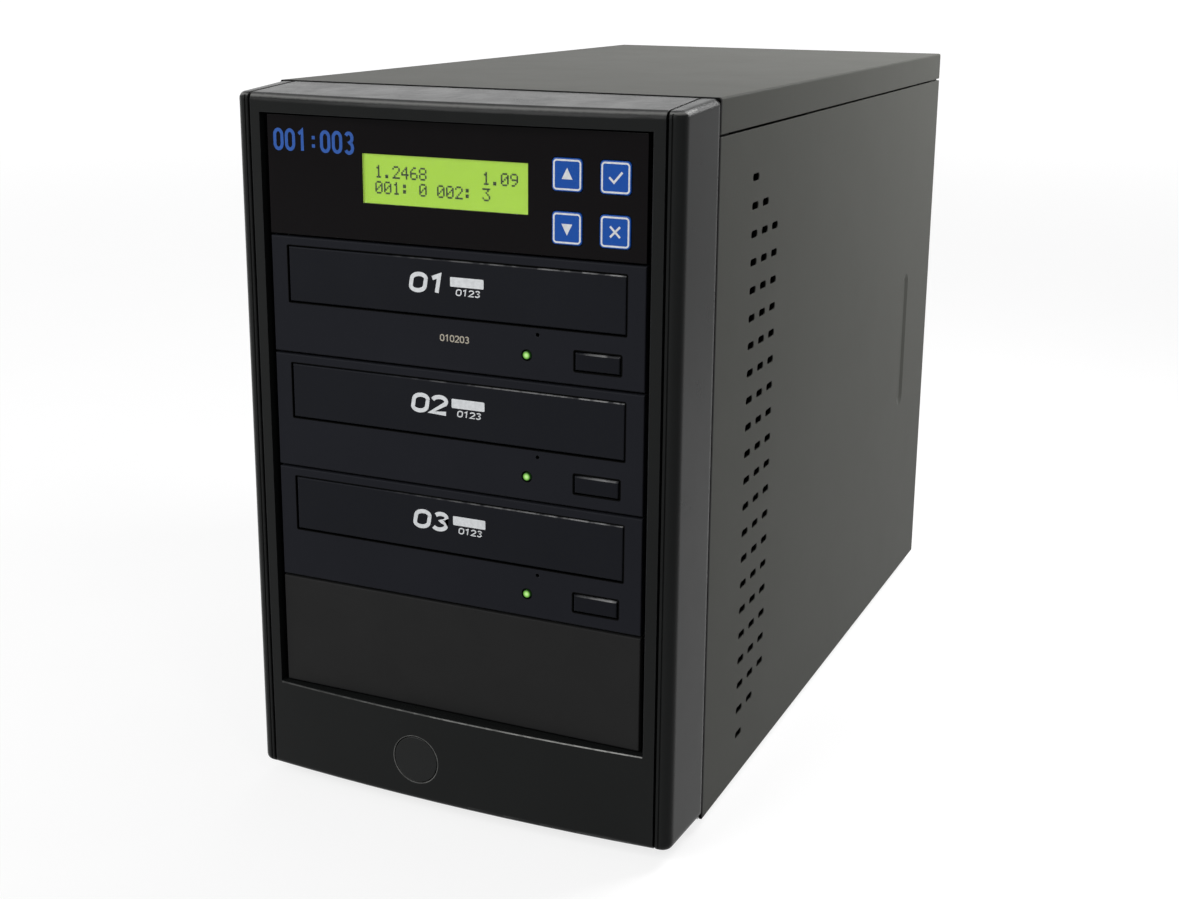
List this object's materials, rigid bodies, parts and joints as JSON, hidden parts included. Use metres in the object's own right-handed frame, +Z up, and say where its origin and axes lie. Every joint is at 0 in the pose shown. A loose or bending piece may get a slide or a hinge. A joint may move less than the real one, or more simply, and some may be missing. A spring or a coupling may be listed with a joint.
{
  "type": "disc duplicator tower",
  "caption": "Black steel tower with a control panel, stacked tray-loading disc drives, a blank bay cover and a power button, for copying optical discs.",
  "frame": {"origin": "middle of the bounding box, on the underside of the feet", "axes": "+X to the right of someone facing the front, +Y from front to back, +Z up"},
  "size_m": [0.176, 0.37, 0.272],
  "materials": {
    "case_paint": "fine textured black powder coat",
    "zinc_steel": "zinc-plated sheet steel",
    "bezel_plastic": "semi-gloss black moulding",
    "front_plastic": "satin black moulding",
    "blank_plastic": "matte black moulding",
    "door_plastic": "satin black moulding",
    "panel_black": "smooth black panel",
    "key_blue": "blue key cap",
    "button_plastic": "semi-gloss black moulding",
    "clear_window": "clear acrylic pane",
    "display": "lit yellow-green display in a metal frame",
    "circuit_board": "green circuit board",
    "tray_plastic": "dark grey moulding",
    "frame_plastic": "grey moulding",
    "light_green": "lit green light pipe",
    "fan_plastic": "black fan moulding",
    "switch_plastic": "black thermoplastic",
    "foot_rubber": "matte rubber",
    "screw_steel": "nickel-plated steel",
    "rod_steel": "ground steel rod",
    "sled_metal": "cast sled",
    "cable_red": "red data lead",
    "cable_black": "sleeved power lead"
  },
  "bodies": {
    "case": {"base_pan": "zinc_steel", "feet": "foot_rubber", "front_plate": "zinc_steel", "rear_panel": "case_paint", "drive_cage": "zinc_steel", "top_cover": "case_paint", "bezel": "bezel_plastic", "bezel_pillars": "bezel_plastic", "power_switch": "switch_plastic", "control_front": "panel_black", "control_tray": "zinc_steel", "lcd_window": "clear_window", "lcd_module": "display", "key_board": "circuit_board", "copy_controller": "circuit_board", "blank_panel": "blank_plastic", "psu_case": "zinc_steel", "psu_board": "circuit_board", "power_inlet": "switch_plastic", "fan_frames": "fan_plastic", "chassis_screws": "screw_steel", "signal_cables": "cable_red", "power_harness": "cable_black", "light_pipes": "light_green", "guide_rods": "rod_steel", "drive_boards": "circuit_board", "drive_frames": "frame_plastic", "drive_case_1": "zinc_steel", "drive_case_2": "zinc_steel", "drive_case_3": "zinc_steel", "drive_front_1": "front_plastic", "drive_front_2": "front_plastic", "drive_front_3": "front_plastic"},
    "cover_right": {"side_cover_right": "case_paint", "thumbscrews_right": "screw_steel"},
    "cover_left": {"side_cover_left": "case_paint", "thumbscrews_left": "screw_steel"},
    "power_button": {"power_button": "button_plastic"},
    "rocker_switch": {"rocker_switch": "switch_plastic"},
    "case_fan_rotor": {"case_fan_rotor": "fan_plastic"},
    "psu_fan_rotor": {"psu_fan_rotor": "fan_plastic"},
    "key_up": {"key_up": "key_blue"},
    "key_enter": {"key_enter": "key_blue"},
    "key_down": {"key_down": "key_blue"},
    "key_escape": {"key_escape": "key_blue"},
    "tray_1": {"tray_1": "tray_plastic", "tray_door_1": "door_plastic"},
    "eject_button_1": {"eject_button_1": "button_plastic"},
    "turntable_1": {"turntable_1": "frame_plastic"},
    "laser_sled_1": {"laser_sled_1": "sled_metal"},
    "tray_2": {"tray_2": "tray_plastic", "tray_door_2": "door_plastic"},
    "eject_button_2": {"eject_button_2": "button_plastic"},
    "turntable_2": {"turntable_2": "frame_plastic"},
    "laser_sled_2": {"laser_sled_2": "sled_metal"},
    "tray_3": {"tray_3": "tray_plastic", "tray_door_3": "door_plastic"},
    "eject_button_3": {"eject_button_3": "button_plastic"},
    "turntable_3": {"turntable_3": "frame_plastic"},
    "laser_sled_3": {"laser_sled_3": "sled_metal"}
  },
  "joints": [
    {"name": "cover_right_slide", "type": "slide", "parent": "case", "child": "cover_right", "axis": [0, 1, 0], "range_m": [0, 0.025]},
    {"name": "cover_left_slide", "type": "slide", "parent": "case", "child": "cover_left", "axis": [0, 1, 0], "range_m": [0, 0.025]},
    {"name": "power_press", "type": "slide", "parent": "case", "child": "power_button", "axis": [0, 1, 0], "range_m": [0, 0.003], "stiffness_N_per_m": 400},
    {"name": "rocker_tilt", "type": "hinge", "parent": "case", "child": "rocker_switch", "pos_m": [0.045, 0.173, 0.036], "axis": [0, 0, 1], "range_deg": [-18, 0]},
    {"name": "case_fan_spin", "type": "hinge", "parent": "case", "child": "case_fan_rotor", "pos_m": [0, 0.1665, 0.187], "axis": [0, 1, 0], "continuous": true},
    {"name": "psu_fan_spin", "type": "hinge", "parent": "case", "child": "psu_fan_rotor", "pos_m": [-0.028, 0.1655, 0.049], "axis": [0, 1, 0], "continuous": true},
    {"name": "key_up_press", "type": "slide", "parent": "case", "child": "key_up", "axis": [0, 1, 0], "range_m": [0, 0.0005], "stiffness_N_per_m": 600},
    {"name": "key_enter_press", "type": "slide", "parent": "case", "child": "key_enter", "axis": [0, 1, 0], "range_m": [0, 0.0005], "stiffness_N_per_m": 600},
    {"name": "key_down_press", "type": "slide", "parent": "case", "child": "key_down", "axis": [0, 1, 0], "range_m": [0, 0.0005], "stiffness_N_per_m": 600},
    {"name": "key_escape_press", "type": "slide", "parent": "case", "child": "key_escape", "axis": [0, 1, 0], "range_m": [0, 0.0005], "stiffness_N_per_m": 600},
    {"name": "tray_1_slide", "type": "slide", "parent": "case", "child": "tray_1", "axis": [0, -1, 0], "range_m": [0, 0.138]},
    {"name": "eject_1_press", "type": "slide", "parent": "case", "child": "eject_button_1", "axis": [0, 1, 0], "range_m": [0, 0.0008], "stiffness_N_per_m": 500},
    {"name": "turntable_1_spin", "type": "hinge", "parent": "case", "child": "turntable_1", "pos_m": [0, -0.1045, 0.1951], "axis": [0, 0, 1], "continuous": true},
    {"name": "laser_sled_1_slide", "type": "slide", "parent": "case", "child": "laser_sled_1", "axis": [0, 1, 0], "range_m": [0, 0.034]},
    {"name": "tray_2_slide", "type": "slide", "parent": "case", "child": "tray_2", "axis": [0, -1, 0], "range_m": [0, 0.138]},
    {"name": "eject_2_press", "type": "slide", "parent": "case", "child": "eject_button_2", "axis": [0, 1, 0], "range_m": [0, 0.0008], "stiffness_N_per_m": 500},
    {"name": "turntable_2_spin", "type": "hinge", "parent": "case", "child": "turntable_2", "pos_m": [0, -0.1045, 0.1511], "axis": [0, 0, 1], "continuous": true},
    {"name": "laser_sled_2_slide", "type": "slide", "parent": "case", "child": "laser_sled_2", "axis": [0, 1, 0], "range_m": [0, 0.034]},
    {"name": "tray_3_slide", "type": "slide", "parent": "case", "child": "tray_3", "axis": [0, -1, 0], "range_m": [0, 0.138]},
    {"name": "eject_3_press", "type": "slide", "parent": "case", "child": "eject_button_3", "axis": [0, 1, 0], "range_m": [0, 0.0008], "stiffness_N_per_m": 500},
    {"name": "turntable_3_spin", "type": "hinge", "parent": "case", "child": "turntable_3", "pos_m": [0, -0.1045, 0.1071], "axis": [0, 0, 1], "continuous": true},
    {"name": "laser_sled_3_slide", "type": "slide", "parent": "case", "child": "laser_sled_3", "axis": [0, 1, 0], "range_m": [0, 0.034]}
  ]
}
